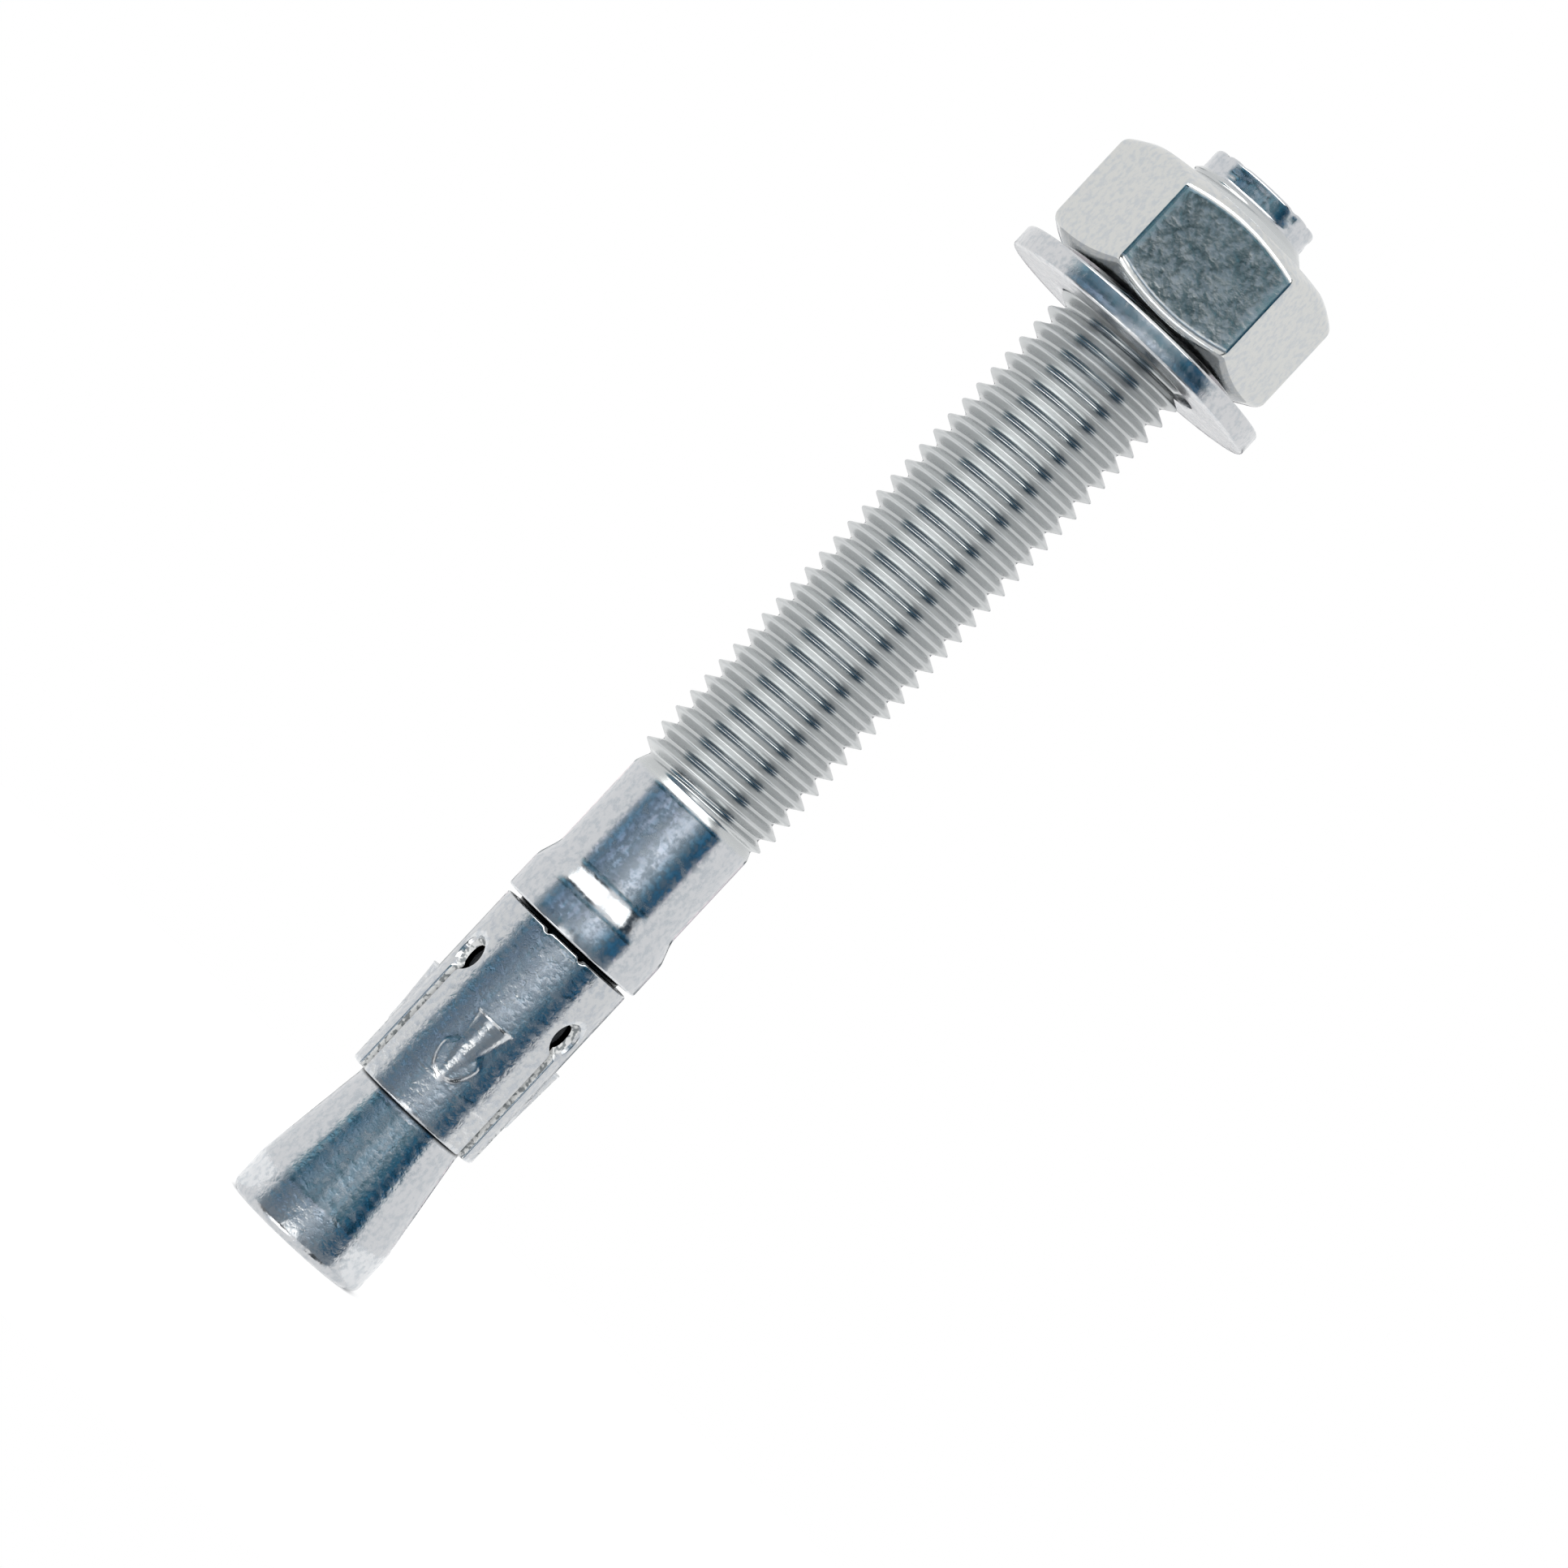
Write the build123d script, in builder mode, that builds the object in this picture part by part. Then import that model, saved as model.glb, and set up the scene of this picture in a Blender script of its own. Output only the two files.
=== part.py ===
"""Wedge anchor (through bolt) M20 x 170: stud, expansion clip, washer and nut.

The anchor stands on the flat end of its cone, with the nut at the top. The clip's middle
petal faces -Y, and so does a flat of the nut, but for a small turn. Millimetres, +Z up,
origin on the ground under the middle of the whole anchor.
"""

import os
from math import cos, degrees, radians, sin, tan

from build123d import *

# Stud: diameters
cone_end_diameter = 19.7
neck_diameter = 15.5
collar_diameter = 20.0
shank_diameter = 18.0
thread_diameter = 19.7
stub_diameter = 15.5

# Stud: lengths along the bolt, from the cone end up
overall_length = 170.0
cone_land_length = 5.7
cone_length = 14.2
collar_length = 4.9
collar_blend_length = 2.9
shank_length = 14.0
runout_length = 2.0
stub_length = 2.7

# Stud: edges
cone_edge_radius = 1.2
cone_land_blend = 8.0
cone_neck_blend = 5.0
neck_corner_radius = 0.4
collar_edge_radius = 0.3
collar_blend_radius = 4.0
stub_edge_radius = 0.4

# Expansion clip, rolled from sheet
clip_length = 27.0
clip_wall = 1.4
clip_clearance = 0.3
clip_play = 0.7
clip_to_cone = 1.0
clip_rim_radius = 0.3
petal_half_angle = 58.0
slot_width = 1.4
relief_hole_diameter = 4.6
relief_hole_below_rim = 8.4
relief_hole_rim = 0.6
seam_gap = 4.0
notch_diameter = 1.3
notch_centre_above_rim = 0.25
notch_angle = 16.5

# Bite scales, raised on the petals
scale_height = 0.75
scale_crest_radius = 3.4
scale_length = 9.4
scale_below_rim = 12.2
scale_foot_radius = 1.5
side_scale_angle = 100.0

# Washer
washer_diameter = 37.0
washer_thickness = 3.0
washer_clearance = 0.65
washer_edge_radius = 0.4
washer_bore_edge = 0.2
washer_side_play = 0.45

# Nut
nut_across_flats = 29.5
nut_height = 16.0
nut_corner_radius = 0.8
nut_face_diameter = 27.6
nut_face_angle = 29.0
nut_edge_radius = 1.0
nut_turn_angle = 4.0
nut_bore_chamfer = 1.0
nut_thread_clearance = 0.05
nut_set_back = 5.0
nut_to_washer = 0.95

# Heights on the bolt, from the cone end up
neck_start = cone_land_length + cone_length
clip_start = neck_start + clip_to_cone
clip_end = clip_start + clip_length
collar_start = clip_end + clip_play
collar_end = collar_start + collar_length
shank_start = collar_end + collar_blend_length
thread_start = shank_start + shank_length
thread_end = overall_length - stub_length
nut_end = overall_length - nut_set_back
nut_start = nut_end - nut_height
washer_start = nut_start - nut_to_washer - washer_thickness

# Heights on the clip
relief_centre = clip_end - relief_hole_below_rim
slot_length = relief_centre - clip_start
scale_top = clip_end - scale_below_rim
scale_bottom = scale_top - scale_length

# Radii that follow from the sizes above
cone_end_radius = cone_end_diameter / 2
neck_radius = neck_diameter / 2
collar_radius = collar_diameter / 2
shank_radius = shank_diameter / 2
thread_radius = thread_diameter / 2
stub_radius = stub_diameter / 2
thread_chamfer = thread_radius - stub_radius
clip_bore_radius = neck_radius + clip_clearance
clip_radius = clip_bore_radius + clip_wall
seam_angle = degrees(seam_gap / clip_radius)
scale_crests = [(scale_top, clip_radius + scale_height), (scale_bottom, clip_radius)]
cut_reach = clip_radius + scale_height + 1
washer_bore_radius = thread_radius + washer_clearance
nut_bore_radius = thread_radius + nut_thread_clearance
nut_face_radius = nut_face_diameter / 2
nut_cone_peak = nut_face_radius + nut_height / 2 / tan(radians(nut_face_angle))

# The washer sits off centre, so the bolt stands beside the middle of the whole anchor
bolt_foot = Vector(-washer_side_play, 0, 0)
bolt_axis = Axis(bolt_foot, (0, 0, 1))


def outward(angle):
    """Level direction away from the bolt's axis, at an angle from -Y towards +X."""
    return Vector(sin(radians(angle)), -cos(radians(angle)), 0)


def section(angle):
    """Plane of a turned piece's half section: local x outwards, local y up."""
    return Plane(origin=bolt_foot, x_dir=outward(angle), z_dir=outward(angle - 90))


def across(height):
    """Level plane through the bolt at a height."""
    return Plane(origin=bolt_foot + Vector(0, 0, height))


def facing(height, angle):
    """Upright plane through the bolt's axis that faces outwards: local x is up."""
    return Plane(origin=bolt_foot + Vector(0, 0, height), x_dir=(0, 0, 1), z_dir=outward(angle))


def corner(radius, height):
    """The corner of the sketch being drawn that lies nearest to a place in the section."""
    return vertices().sort_by_distance((radius, height))[0]


# Stud: one bar, turned and rolled. The thread is a plain cylinder at its crests.
with BuildPart() as stud:
    with BuildSketch(section(0)):
        with BuildLine():
            Polyline(
                (0, 0),
                (cone_end_radius, 0),
                (cone_end_radius, cone_land_length),
                (neck_radius, neck_start),
                (neck_radius, collar_start),
                (collar_radius, collar_start),
                (collar_radius, collar_end),
                (shank_radius, shank_start),
                (shank_radius, thread_start),
                (thread_radius, thread_start + runout_length),
                (thread_radius, thread_end - thread_chamfer),
                (stub_radius, thread_end),
                (stub_radius, overall_length),
                (0, overall_length),
                close=True,
            )
        make_face()
        fillet(corner(cone_end_radius, 0), cone_edge_radius)
        fillet(corner(cone_end_radius, cone_land_length), cone_land_blend)
        fillet(corner(neck_radius, neck_start), cone_neck_blend)
        fillet(corner(neck_radius, collar_start), neck_corner_radius)
        fillet(corner(collar_radius, collar_start), collar_edge_radius)
        fillet(corner(collar_radius, collar_end), collar_blend_radius)
        fillet(corner(shank_radius, shank_start), collar_blend_radius)
        fillet(corner(stub_radius, overall_length), stub_edge_radius)
    revolve(axis=bolt_axis)

# Expansion clip: a strip of sheet rolled round the neck, its seam open at the back. It has
# three petals, each with a bite scale pressed out of it.
with BuildPart() as clip:
    with BuildSketch(section(180 + seam_angle / 2)):
        with BuildLine():
            Polyline(
                (0, clip_start),
                (clip_radius, clip_start),
                (clip_radius, clip_end),
                (0, clip_end),
                close=True,
            )
        make_face()
        fillet(corner(clip_radius, clip_start), clip_rim_radius)
        fillet(corner(clip_radius, clip_end), clip_rim_radius)
    revolve(axis=bolt_axis, revolution_arc=360 - seam_angle)

    # A scale is a round ridge that rises out of the wall and ends in a square step
    for angle in (-side_scale_angle, 0, side_scale_angle):
        smooth_edges = edges()
        for height, crest in scale_crests:
            with BuildSketch(across(height)):
                with PolarLocations(crest - scale_crest_radius, 1, start_angle=angle - 90):
                    Circle(scale_crest_radius)
        loft()
        scale_edges = edges() - smooth_edges
        fillet(scale_edges.filter_by(GeomType.CIRCLE, reverse=True), scale_foot_radius)

    with BuildSketch(across(clip_start)):
        Circle(clip_bore_radius)
    extrude(amount=clip_length, mode=Mode.SUBTRACT)

    # Slots part the petals, from the dished relief holes to the lower edge
    for angle in (-petal_half_angle, petal_half_angle):
        with BuildSketch(facing(relief_centre, angle)):
            Circle(relief_hole_diameter / 2)
        whole_edges = edges()
        extrude(amount=cut_reach, mode=Mode.SUBTRACT)
        rim = (edges() - whole_edges).sort_by_distance(across(relief_centre).origin)[-1]
        fillet(rim, relief_hole_rim)
        with BuildSketch(facing(relief_centre, angle)):
            Rectangle(slot_length, slot_width, align=(Align.MAX, Align.CENTER))
        extrude(amount=cut_reach, mode=Mode.SUBTRACT)

    # Punched notches in the upper edge
    for angle in (-notch_angle, notch_angle):
        with BuildSketch(facing(clip_end + notch_centre_above_rim, angle)):
            Circle(notch_diameter / 2)
        extrude(amount=cut_reach, mode=Mode.SUBTRACT)

# Washer: plain and punched, off centre on the thread by part of its play
with BuildPart() as washer:
    with BuildSketch(across(washer_start)):
        with Locations((washer_side_play, 0)):
            Circle(washer_diameter / 2)
            Circle(washer_bore_radius, mode=Mode.SUBTRACT)
    extrude(amount=washer_thickness)
    rims = edges().filter_by(GeomType.CIRCLE).group_by(SortBy.RADIUS)
    fillet(rims[-1], washer_edge_radius)
    fillet(rims[0], washer_bore_edge)

# Nut: hexagon, forged. A conical cut takes the corners off at both faces, with soft edges.
with BuildPart() as nut:
    with BuildSketch(across(nut_start)):
        RegularPolygon(nut_across_flats / 2, 6, major_radius=False, rotation=nut_turn_angle)
        fillet(vertices(), nut_corner_radius)
    extrude(amount=nut_height)
    with BuildSketch(section(0)):
        with BuildLine():
            Polyline(
                (0, nut_start),
                (nut_face_radius, nut_start),
                (nut_cone_peak, (nut_start + nut_end) / 2),
                (nut_face_radius, nut_end),
                (0, nut_end),
                close=True,
            )
        make_face()
    revolve(axis=bolt_axis, mode=Mode.INTERSECT)
    cone_edges = faces().filter_by(GeomType.CONE).edges()
    fillet(cone_edges.filter_by(GeomType.CIRCLE, reverse=True), nut_edge_radius)
    with BuildSketch(across(nut_start)):
        Circle(nut_bore_radius)
    extrude(amount=nut_height, mode=Mode.SUBTRACT)
    chamfer(edges().filter_by(GeomType.CIRCLE).group_by(SortBy.RADIUS)[0], nut_bore_chamfer)

# Hand over: one file for each piece
os.makedirs("parts", exist_ok=True)
stud.part.label = "stud"
clip.part.label = "clip"
washer.part.label = "washer"
nut.part.label = "nut"
export_step(stud.part, "parts/stud.step")
export_step(clip.part, "parts/clip.step")
export_step(washer.part, "parts/washer.step")
export_step(nut.part, "parts/nut.step")
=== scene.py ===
"""Wedge anchor, through-bolt kind: its looks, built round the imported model.

Shapes are worked out in millimetres about the bolt's axis, with the clip's middle petal
towards -Y, and are brought to metres and to the bolt's place when each piece is made.
"""

from math import asin, cos, hypot, pi, radians, sin, sqrt, tan

import bmesh
import bpy
import numpy as np
from mathutils import Matrix, Vector
from mathutils.geometry import delaunay_2d_cdt


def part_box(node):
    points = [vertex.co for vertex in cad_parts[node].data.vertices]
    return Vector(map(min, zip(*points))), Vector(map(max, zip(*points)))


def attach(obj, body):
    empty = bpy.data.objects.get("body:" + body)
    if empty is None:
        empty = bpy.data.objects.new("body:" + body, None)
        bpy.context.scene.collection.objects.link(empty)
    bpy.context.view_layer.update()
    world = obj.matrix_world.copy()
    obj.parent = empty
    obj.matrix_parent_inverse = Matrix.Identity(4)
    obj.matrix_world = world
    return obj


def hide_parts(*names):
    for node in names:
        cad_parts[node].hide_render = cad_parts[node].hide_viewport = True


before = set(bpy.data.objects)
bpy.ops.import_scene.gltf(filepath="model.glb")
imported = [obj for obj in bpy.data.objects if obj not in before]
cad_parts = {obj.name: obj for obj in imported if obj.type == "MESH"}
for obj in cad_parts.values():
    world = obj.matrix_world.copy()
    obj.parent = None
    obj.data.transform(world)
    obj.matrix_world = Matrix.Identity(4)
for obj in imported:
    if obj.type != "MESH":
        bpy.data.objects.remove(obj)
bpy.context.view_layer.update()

MM = 0.001

# -------- sizes, mm


def span(node):
    """Lowest and highest point of a CAD node, in mm."""
    low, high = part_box(node)
    return low.z / MM, high.z / MM


stud_low, stud_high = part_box("stud")
AXIS_X = (stud_low.x + stud_high.x) / 2
CLIP_BOTTOM, CLIP_TOP = span("clip")
WASHER_BOTTOM, WASHER_TOP = span("washer")
NUT_BOTTOM, NUT_TOP = span("nut")
STUD_TOP = stud_high.z / MM
washer_low, washer_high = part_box("washer")
WASHER_SIDE_PLAY = (washer_low.x + washer_high.x) / 2 / MM - AXIS_X / MM

# Stud, with the radii of its blends
CONE_END_R = 9.85
CONE_EDGE = 1.2
LAND_BLEND = 8.0
NECK_BLEND = 5.0
NECK_CORNER = 0.4
COLLAR_EDGE = 0.3
COLLAR_BLEND = 4.0
CONE_LAND = 5.7
NECK_START = 19.9
NECK_R = 7.75
COLLAR_START = CLIP_TOP + 0.7
COLLAR_END = COLLAR_START + 4.9
COLLAR_R = 10.0
SHANK_START = COLLAR_END + 2.9
SHANK_R = 9.0
THREAD_START = SHANK_START + 14.0
THREAD_END = STUD_TOP - 2.7
STUB_R = 7.75
STUB_EDGE = 0.4

# Thread, M20 coarse
PITCH = 2.5
CREST_R = 9.85
ROOT_R = 8.3
FORM = {"Crest Flat": 0.24, "Crest Rounding": 0.24, "Root Rounding": 0.28}
CREST_HEIGHT = 118.69  # of the middle crest, on the side towards +X
RUNOUT_BELOW = 1.4
SHANK_CHAMFER = 1.6
RUNOUT = 1.1
TAPER = {"Taper Start": 0.6, "Taper Slope": -0.45, "Taper Rounding": 0.3}
NUT_THREAD_PLAY = 0.07

# Hammer blows on the stub: none up to Dent Free from its root, all from Dent Full on
DENTS = {"Dents per mm": 0.33, "Dent Depth": 0.35, "Dent Free": 0.4, "Dent Full": 1.8}

# Clip
CLIP_R = 9.45
CLIP_BORE_R = 8.05
SEAM_GAP = 4.0
STRIP_CORNER = 0.5
SLOT_CORNER = 0.25
PETAL_ANGLE = 58.0
SLOT_WIDTH = 1.4
RELIEF_R = 2.3
RELIEF_DOWN = 8.4
HOLE_TAPER = 0.6
NOTCH_R = 0.65
NOTCH_UP = 0.25
NOTCH_ANGLE = 16.5
SCALE_ANGLES = (-100.0, 0.0, 100.0)
SCALE_TOP = CLIP_TOP - 12.2
SCALE_LENGTH = 9.4
SCALE_HEIGHT = 0.75
SCALE_HALF_WIDTH = 3.0
SCALE_LEAN = 0.7
TONGUE_HEIGHT = 0.22
TONGUE_END = 0.43
RIDGE_HALF_WIDTH = 2.55
RIDGE_FOOT = 0.15  # share of that width at the ridge's foot
RIDGE_BOW = 0.15
RIDGE_SOFT = 0.035
BURR_HEIGHT = 0.08
BURR_WIDTH = 0.12
BURR_HALF_LENGTH = 2.7

# How far the clip's edges have rolled over: width and drop
OUTER_EDGE = (0.28, 0.2)
INNER_EDGE = (0.25, 0.1)
HOLE_EDGE = (0.95, 0.45)

# Washer and nut
WASHER_R = 18.5
WASHER_BORE_R = 10.5
WASHER_EDGE = 0.4
WASHER_BORE_EDGE = 0.2
NUT_FLAT = 14.75
NUT_CORNER = 0.8
NUT_TURN = 4.0
NUT_FACE_R = (13.6, 13.9)
NUT_FACE_ANGLE = 29.0
NUT_EDGE = 1.5
NUT_FACE_EDGE = 0.5
NUT_MOUTH_R = 10.9

# Fineness of the meshes: welds, steps between points and how many steps go round
WELD = 0.004
TREE_WELD = 0.003
SLIVER = 0.002
LONG_STEP = 1.5
SHORT_STEP = 0.3
STUD_COLUMNS = 96
WASHER_COLUMNS = 128
NUT_CORNER_STEPS = 6
NUT_FLAT_STEPS = 14
HOLE_STEPS = 24
NOTCH_STEPS = 8
STRIP_GRID = 0.36
SCALE_GRID = (0.18, 0.2)


# -------- making shapes


def live(node):
    """A node's result: the first of its outputs that is in use."""
    return next(socket for socket in node.outputs if socket.enabled)


def add(tree, kind, links=None, **settings):
    """Adds a node with its settings. Each input takes a node, a socket or a value."""
    made = tree.nodes.new(kind)
    for name, value in settings.items():
        setattr(made, name, value)
    for name, value in (links or {}).items():
        socket = made.inputs[name]
        if isinstance(name, str) and not socket.enabled:
            socket = next(s for s in made.inputs if s.name == name and s.enabled)
        if isinstance(value, bpy.types.Node):
            value = live(value)
        if isinstance(value, bpy.types.NodeSocket):
            tree.links.new(value, socket)
        else:
            socket.default_value = value
    return made


def rounded(points, radii, steps=6):
    """A polyline with its corners rounded, each to its own radius."""
    nearly_straight = radians(179.5)
    out = [points[0]]
    for before, here, after, radius in zip(points, points[1:], points[2:], radii[1:]):
        a, p, b = Vector(before), Vector(here), Vector(after)
        to_a, to_b = (a - p).normalized(), (b - p).normalized()
        turn = to_a.angle(to_b)
        if radius <= 0 or turn > nearly_straight:
            out.append(tuple(p))
            continue
        reach = radius / tan(turn / 2)
        start = p + to_a * reach
        centre = p + (to_a + to_b).normalized() * radius / sin(turn / 2)
        first = start - centre
        sweep = pi - turn
        side = 1 if to_a.y * to_b.x - to_a.x * to_b.y > 0 else -1
        for step in range(steps + 1):
            angle = side * sweep * step / steps
            x = first.x * cos(angle) - first.y * sin(angle)
            y = first.x * sin(angle) + first.y * cos(angle)
            out.append((centre.x + x, centre.y + y))
    out.append(points[-1])
    return out


def divided(points, step):
    """Puts more points on a polyline's long runs."""
    out = [points[0]]
    for a, b in zip(points, points[1:]):
        parts = max(1, round(hypot(b[0] - a[0], b[1] - a[1]) / step))
        for i in range(1, parts + 1):
            out.append((a[0] + (b[0] - a[0]) * i / parts, a[1] + (b[1] - a[1]) * i / parts))
    return out


def quads(columns, rows, ring=False):
    """Faces between columns of points that go once round. A ring's rows close up as well."""
    return [
        (c * rows + r, (c + 1) % columns * rows + r, (c + 1) % columns * rows + (r + 1) % rows,
         c * rows + (r + 1) % rows)
        for c in range(columns) for r in range(rows if ring else rows - 1)
    ]


def placed(name, data):
    """A new object in the scene with this mesh, lamp or camera."""
    made = bpy.data.objects.new(name, data)
    bpy.context.scene.collection.objects.link(made)
    return made


def mesh_object(name, points, faces=()):
    """A new object of these points and faces, or of a line through the points."""
    mesh = bpy.data.meshes.new(name)
    line = [] if faces else [(i, i + 1) for i in range(len(points) - 1)]
    mesh.from_pydata([tuple(p) for p in points], line, faces)
    return placed(name, mesh)


def finished(piece, material, sharp=40):
    """Welds a piece, turns its faces outwards and gives it its finish."""
    mesh = piece.data
    work = bmesh.new()
    work.from_mesh(mesh)
    bmesh.ops.remove_doubles(work, verts=work.verts, dist=WELD * MM)
    bmesh.ops.dissolve_degenerate(work, edges=work.edges, dist=SLIVER * MM)
    bmesh.ops.recalc_face_normals(work, faces=work.faces)
    work.to_mesh(mesh)
    work.free()
    mesh.shade_smooth()
    mesh.set_sharp_from_angle(angle=radians(sharp))
    mesh.materials.clear()
    mesh.materials.append(material)
    return piece


def to_place(points):
    """From millimetres about the bolt's axis to metres in the frame."""
    return np.asarray(points, float) * MM + np.array((AXIS_X, 0.0, 0.0))


# -------- Geometry Nodes

THREAD_COUNTS = ("Columns", "Turns", "Rows per Turn")
THREAD_SIZES = ("Pitch", "Crest Radius", "Root Radius", *FORM, "Crest Height", "Start", "End")


def new_tree(name, **inputs):
    """An empty tree with inputs of these kinds and names, and one shape as its result."""
    tree = bpy.data.node_groups.new(name, "GeometryNodeTree")
    for kind, labels in inputs.items():
        for label in labels:
            tree.interface.new_socket(label, in_out="INPUT", socket_type="NodeSocket" + kind)
    tree.interface.new_socket("Geometry", in_out="OUTPUT", socket_type="NodeSocketGeometry")
    return tree, tree.nodes.new("NodeGroupInput").outputs, tree.nodes.new("NodeGroupOutput")


def picked(tree, line, steps, along):
    """The number of each grid point's column or row, and the point of a line with that number."""
    number = add(tree, "ShaderNodeMath", {0: steps, 1: 0.5, 2: along}, operation="MULTIPLY_ADD")
    number = add(tree, "ShaderNodeMath", {0: number}, operation="ROUND")
    place = add(tree, "GeometryNodeInputPosition")
    point = add(tree, "GeometryNodeSampleIndex",
                {"Geometry": line, "Value": place, "Index": number}, data_type="FLOAT_VECTOR")
    return number, point


def wrapped(tree, given, result, length, rows, toward, radius, height):
    """Takes each point of a flat grid out to its radius in its column's direction, and up."""
    wide = add(tree, "ShaderNodeMath", {0: given["Columns"], 1: 1.0}, operation="ADD")
    grid = add(tree, "GeometryNodeMeshGrid",
               {"Size X": given["Columns"], "Size Y": length, "Vertices X": wide,
                "Vertices Y": rows})
    out = add(tree, "ShaderNodeVectorMath", {0: toward, "Scale": radius}, operation="SCALE")
    up = add(tree, "ShaderNodeCombineXYZ", {"Z": height})
    spot = add(tree, "ShaderNodeVectorMath", {0: out, 1: up}, operation="ADD")
    shape = add(tree, "GeometryNodeSetPosition", {"Geometry": grid, "Position": spot})
    tree.links.new(shape.outputs[0], result.inputs[0])


def turned_tree():
    """Turns a profile about the axis. The ring gives the direction of each column."""
    tree, given, result = new_tree("Turned", Geometry=("Ring", "Profile"), Int=("Columns",))
    count = add(tree, "GeometryNodeAttributeDomainSize", {0: given["Profile"]})
    rows = count.outputs["Point Count"]
    last = add(tree, "ShaderNodeMath", {0: rows, 1: 1.0}, operation="SUBTRACT")
    at = add(tree, "ShaderNodeSeparateXYZ", {0: add(tree, "GeometryNodeInputPosition")})
    _, toward = picked(tree, given["Ring"], given["Columns"], at.outputs["X"])
    _, point = picked(tree, given["Profile"], last, at.outputs["Y"])
    size = add(tree, "ShaderNodeSeparateXYZ", {0: point})
    wrapped(tree, given, result, last, rows, toward, size.outputs["X"], size.outputs["Z"])
    return tree


def thread_tree():
    """A right-hand thread: rows follow the helix, so that each crest stays a clean line."""
    tree, given, result = new_tree(
        "Helical thread", Geometry=("Ring",), Int=THREAD_COUNTS, Float=THREAD_SIZES)
    rows = add(tree, "ShaderNodeMath",
               {0: given["Turns"], 1: given["Rows per Turn"], 2: 1.0}, operation="MULTIPLY_ADD")
    at = add(tree, "ShaderNodeSeparateXYZ", {0: add(tree, "GeometryNodeInputPosition")})
    column, toward = picked(tree, given["Ring"], given["Columns"], at.outputs["X"])
    turn = add(tree, "GeometryNodeInputNamedAttribute", {"Name": "turn"}, data_type="FLOAT")
    turn = add(tree, "GeometryNodeSampleIndex",
               {"Geometry": given["Ring"], "Value": turn, "Index": column}, data_type="FLOAT")
    along = add(tree, "ShaderNodeMath", {0: turn, 1: at.outputs["Y"]}, operation="ADD")
    height = add(tree, "ShaderNodeMath", {0: along, 1: given["Pitch"], 2: given["Crest Height"]},
                 operation="MULTIPLY_ADD")
    height = add(tree, "ShaderNodeClamp",
                 {"Value": height, "Min": given["Start"], "Max": given["End"]})
    away = add(tree, "ShaderNodeMath", {0: at.outputs["Y"], 1: 0.5, 2: -0.5}, operation="WRAP")
    away = add(tree, "ShaderNodeMath", {0: away}, operation="ABSOLUTE")
    away = add(tree, "ShaderNodeMath", {0: away, 1: given["Pitch"]}, operation="MULTIPLY")
    beyond = add(tree, "ShaderNodeMath", {0: given["Crest Flat"], 1: 0.5}, operation="MULTIPLY")
    beyond = add(tree, "ShaderNodeMath", {0: beyond, 1: away}, operation="SUBTRACT")
    # a flank falls at 30 degrees from square to the axis
    radius = add(tree, "ShaderNodeMath", {0: beyond, 1: sqrt(3), 2: given["Crest Radius"]},
                 operation="MULTIPLY_ADD")
    for end, soften in (("Crest", "SMOOTH_MIN"), ("Root", "SMOOTH_MAX")):
        radius = add(tree, "ShaderNodeMath",
                     {0: radius, 1: given[end + " Radius"], 2: given[end + " Rounding"]},
                     operation=soften)
    wrapped(tree, given, result, given["Turns"], rows, toward, radius, height)
    return tree


def thread_part(tree, given, thread, ring):
    """The thread's tree as a part of another tree, which hands on its own inputs."""
    sizes = {label: given[label] for label in THREAD_COUNTS + THREAD_SIZES}
    return add(tree, "GeometryNodeGroup", {"Ring": ring, **sizes}, node_tree=thread)


def end_tree(tree, given, result, shape):
    """Welds a piece, brings it from millimetres to its place and gives it its material."""
    weld = add(tree, "GeometryNodeMergeByDistance", {"Geometry": shape, "Distance": TREE_WELD})
    moved = add(tree, "GeometryNodeTransform",
                {"Geometry": weld, "Translation": (AXIS_X, 0, 0), "Scale": (MM, MM, MM)})
    real = add(tree, "GeometryNodeRealizeInstances", {"Geometry": moved})
    coat = add(tree, "GeometryNodeSetMaterial", {"Geometry": real, "Material": given["Material"]})
    tree.links.new(coat.outputs[0], result.inputs[0])


def resized(tree, shape, radius_from):
    """Moves each point of a shape to a new radius, which radius_from works out from
    its height and its radius."""
    place = add(tree, "GeometryNodeInputPosition")
    at = add(tree, "ShaderNodeSeparateXYZ", {0: place})
    flat = add(tree, "ShaderNodeVectorMath", {0: place, 1: (1, 1, 0)}, operation="MULTIPLY")
    old = add(tree, "ShaderNodeVectorMath", {0: flat}, operation="LENGTH").outputs["Value"]
    new = radius_from(at.outputs["Z"], old)
    factor = add(tree, "ShaderNodeMath", {0: new, 1: old}, operation="DIVIDE")
    factor = add(tree, "ShaderNodeCombineXYZ", {"X": factor, "Y": factor, "Z": 1.0})
    spot = add(tree, "ShaderNodeVectorMath", {0: place, 1: factor}, operation="MULTIPLY")
    return add(tree, "GeometryNodeSetPosition", {"Geometry": shape, "Position": spot})


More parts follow.
